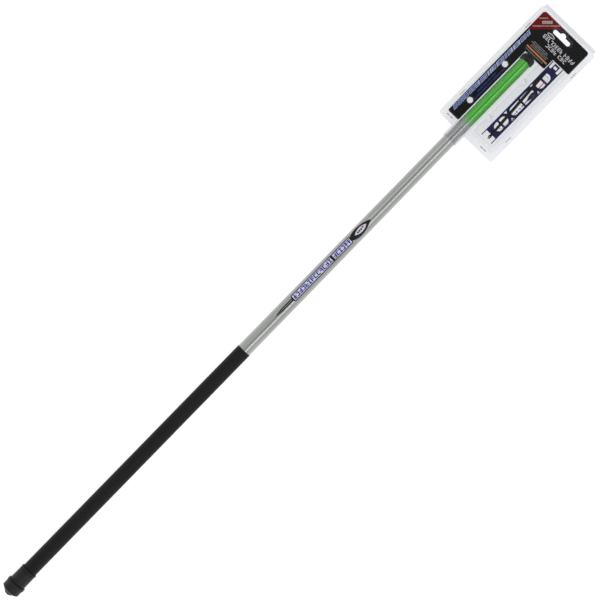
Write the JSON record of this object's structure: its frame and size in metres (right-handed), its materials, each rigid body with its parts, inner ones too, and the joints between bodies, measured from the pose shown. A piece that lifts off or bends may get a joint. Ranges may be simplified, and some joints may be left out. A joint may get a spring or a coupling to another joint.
{
  "type": "telescopic fishing whip",
  "caption": "Closed telescopic fishing pole with a grip, screw cap and bung, its tip end in a stapled clear pack of rig, winder and disgorger.",
  "frame": {"origin": "centre of the butt end face, on the pole's axis", "axes": "+X along the pole from butt to tip, +Z out of the front of the clamshell, +Y towards the printed card's long strip"},
  "size_m": [1.183, 0.1093, 0.0304],
  "materials": {
    "silver_paint": "silver metallic lacquer over fibreglass",
    "green_paint": "green metallic lacquer over fibreglass, silver where it fades",
    "bare_blank": "green tinted fibreglass, gloss",
    "grip_foam": "matte black heat-shrunk rubber",
    "black_moulding": "satin black moulded plastic",
    "black_rubber": "matte black rubber",
    "solid_glass": "white solid fibreglass",
    "connector_plastic": "red moulded plastic",
    "clear_film": "clear thermoformed film",
    "printed_card": "black printed card, satin",
    "staple_wire": "plated steel wire",
    "navy_plastic": "navy moulded plastic, satin",
    "fishing_line": "clear nylon line",
    "float_paint": "dark green lacquer",
    "float_red": "red plastic",
    "shot_metal": "dull grey soft shot",
    "hook_wire": "bronzed wire",
    "disgorger_plastic": "dark green moulded plastic, satin"
  },
  "bodies": {
    "butt": {"butt_tube": "silver_paint", "grip_sleeve": "grip_foam", "butt_collar": "black_moulding", "thread_ring": "black_moulding"},
    "seal_carrier": {"cap_seal": "black_rubber"},
    "screw_cap": {"butt_cap": "black_moulding", "cap_end_disc": "black_moulding"},
    "section_2": {"section_2_tube": "green_paint"},
    "section_3": {"section_3_tube": "bare_blank"},
    "tip_section": {"tip_tube": "bare_blank", "solid_tip": "solid_glass", "line_connector": "connector_plastic"},
    "bung": {"tip_bung": "black_rubber"},
    "pack": {"front_shell": "clear_film", "back_shell": "clear_film", "shell_fold": "clear_film", "hang_card": "printed_card", "staples": "staple_wire", "rig_winder": "navy_plastic", "wound_line": "fishing_line", "float_body": "float_paint", "float_stem": "float_paint", "float_antenna": "float_red", "float_sleeves": "black_rubber", "split_shot": "shot_metal", "rig_hook": "hook_wire", "disgorger": "disgorger_plastic"}
  },
  "joints": [
    {"name": "section_2_slide", "type": "slide", "parent": "butt", "child": "section_2", "axis": [1, 0, 0], "range_m": [0, 0.852]},
    {"name": "section_3_slide", "type": "slide", "parent": "section_2", "child": "section_3", "axis": [1, 0, 0], "range_m": [0, 1.008]},
    {"name": "tip_slide", "type": "slide", "parent": "section_3", "child": "tip_section", "axis": [1, 0, 0], "range_m": [0, 1.001]},
    {"name": "bung_pull", "type": "slide", "parent": "tip_section", "child": "bung", "axis": [1, 0, 0], "range_m": [0, 0.03]},
    {"name": "pack_pull", "type": "slide", "parent": "bung", "child": "pack", "axis": [1, 0, 0], "range_m": [0, 0.18]},
    {"name": "cap_travel", "type": "slide", "parent": "butt", "child": "seal_carrier", "axis": [-1, 0, 0], "range_m": [0, 0.0161]},
    {"name": "cap_turn", "type": "hinge", "parent": "seal_carrier", "child": "screw_cap", "pos_m": [0, 0, 0], "axis": [-1, 0, 0], "range_deg": [0, 2880]}
  ],
  "couplings": [
    {"joint": "cap_travel", "follows": "cap_turn", "m_per_rad": 0.00031831}
  ]
}
